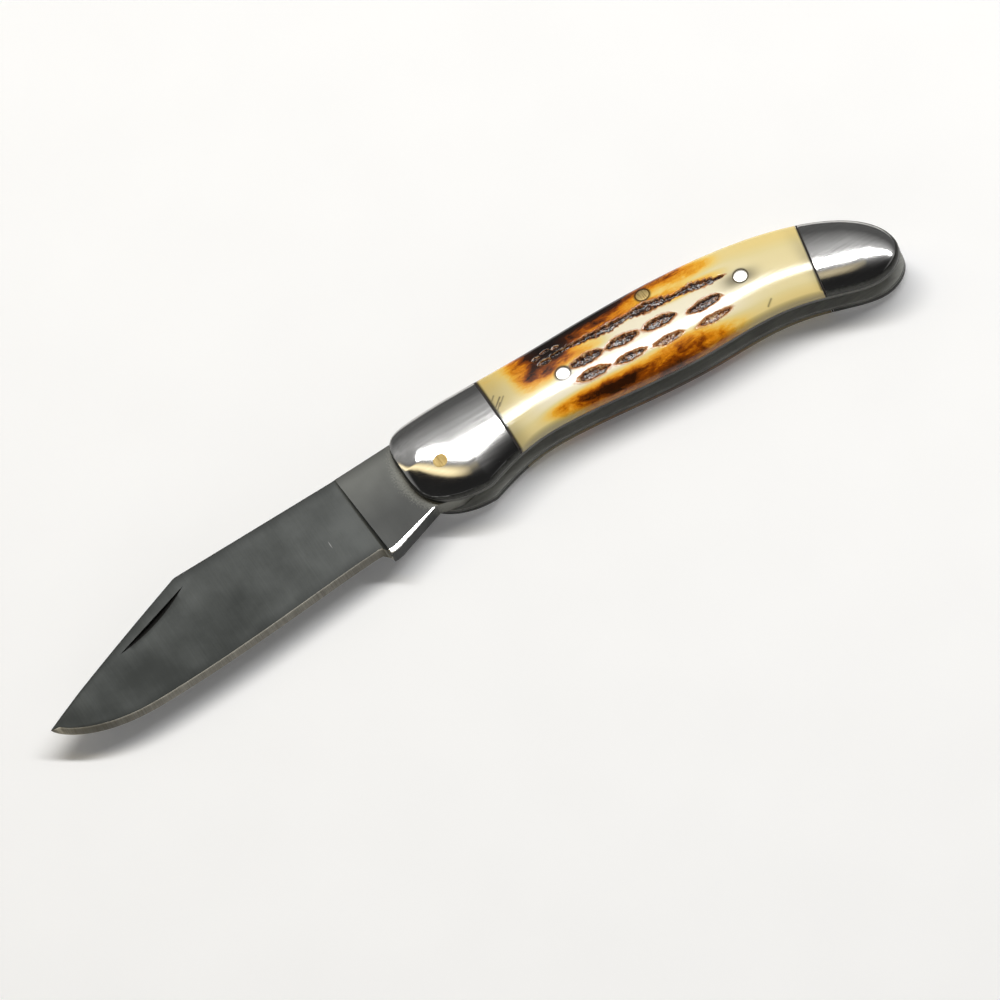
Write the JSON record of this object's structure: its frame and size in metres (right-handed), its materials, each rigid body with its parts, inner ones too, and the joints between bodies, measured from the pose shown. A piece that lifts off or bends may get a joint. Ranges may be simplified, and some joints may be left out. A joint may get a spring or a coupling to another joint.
{
  "type": "folding pocket knife",
  "caption": "Slipjoint folding knife: a clip-point blade with a nail nick folds into a handle of polished steel bolsters and jigged bone scales held by a backspring.",
  "frame": {"origin": "centre of the bounding box in X and Y, on the plane that the knife's pile side rests on", "axes": "+X from the blade's tip to the butt with the blade open, +Y from the belly to the spine, +Z through the thickness from the pile side to the mark side, which has the nail nick"},
  "size_m": [0.1956, 0.0286, 0.0116],
  "materials": {
    "satin_steel": "satin ground",
    "polished_steel": "polished, faint cross brushing",
    "spring_steel": "ground",
    "brass": "filed flush",
    "nickel_silver": "polished",
    "bone": "polished jigged bone, burnt amber in the grooves",
    "fibre": "black fibre"
  },
  "bodies": {
    "handle": {"backspring": "spring_steel", "pivot_pin": "brass", "spring_pin": "brass", "rear_spring_pin": "polished_steel", "mark_liner": "spring_steel", "mark_front_bolster": "polished_steel", "mark_front_spacer": "fibre", "mark_scale": "bone", "mark_rear_spacer": "fibre", "mark_rear_bolster": "polished_steel", "mark_front_scale_pin": "nickel_silver", "mark_rear_scale_pin": "nickel_silver", "mark_front_rivet": "polished_steel", "mark_rear_rivet": "polished_steel", "pile_liner": "spring_steel", "pile_front_bolster": "polished_steel", "pile_front_spacer": "fibre", "pile_scale": "bone", "pile_rear_spacer": "fibre", "pile_rear_bolster": "polished_steel", "pile_front_scale_pin": "nickel_silver", "pile_rear_scale_pin": "nickel_silver", "pile_front_rivet": "polished_steel", "pile_rear_rivet": "polished_steel"},
    "blade": {"blade": "satin_steel"}
  },
  "joints": [
    {"name": "blade_pivot", "type": "hinge", "parent": "handle", "child": "blade", "pos_m": [-0.00305, 0.00143, 0.0058], "axis": [0, 0, 1], "range_deg": [0, 170], "deforming": ["backspring"]}
  ]
}
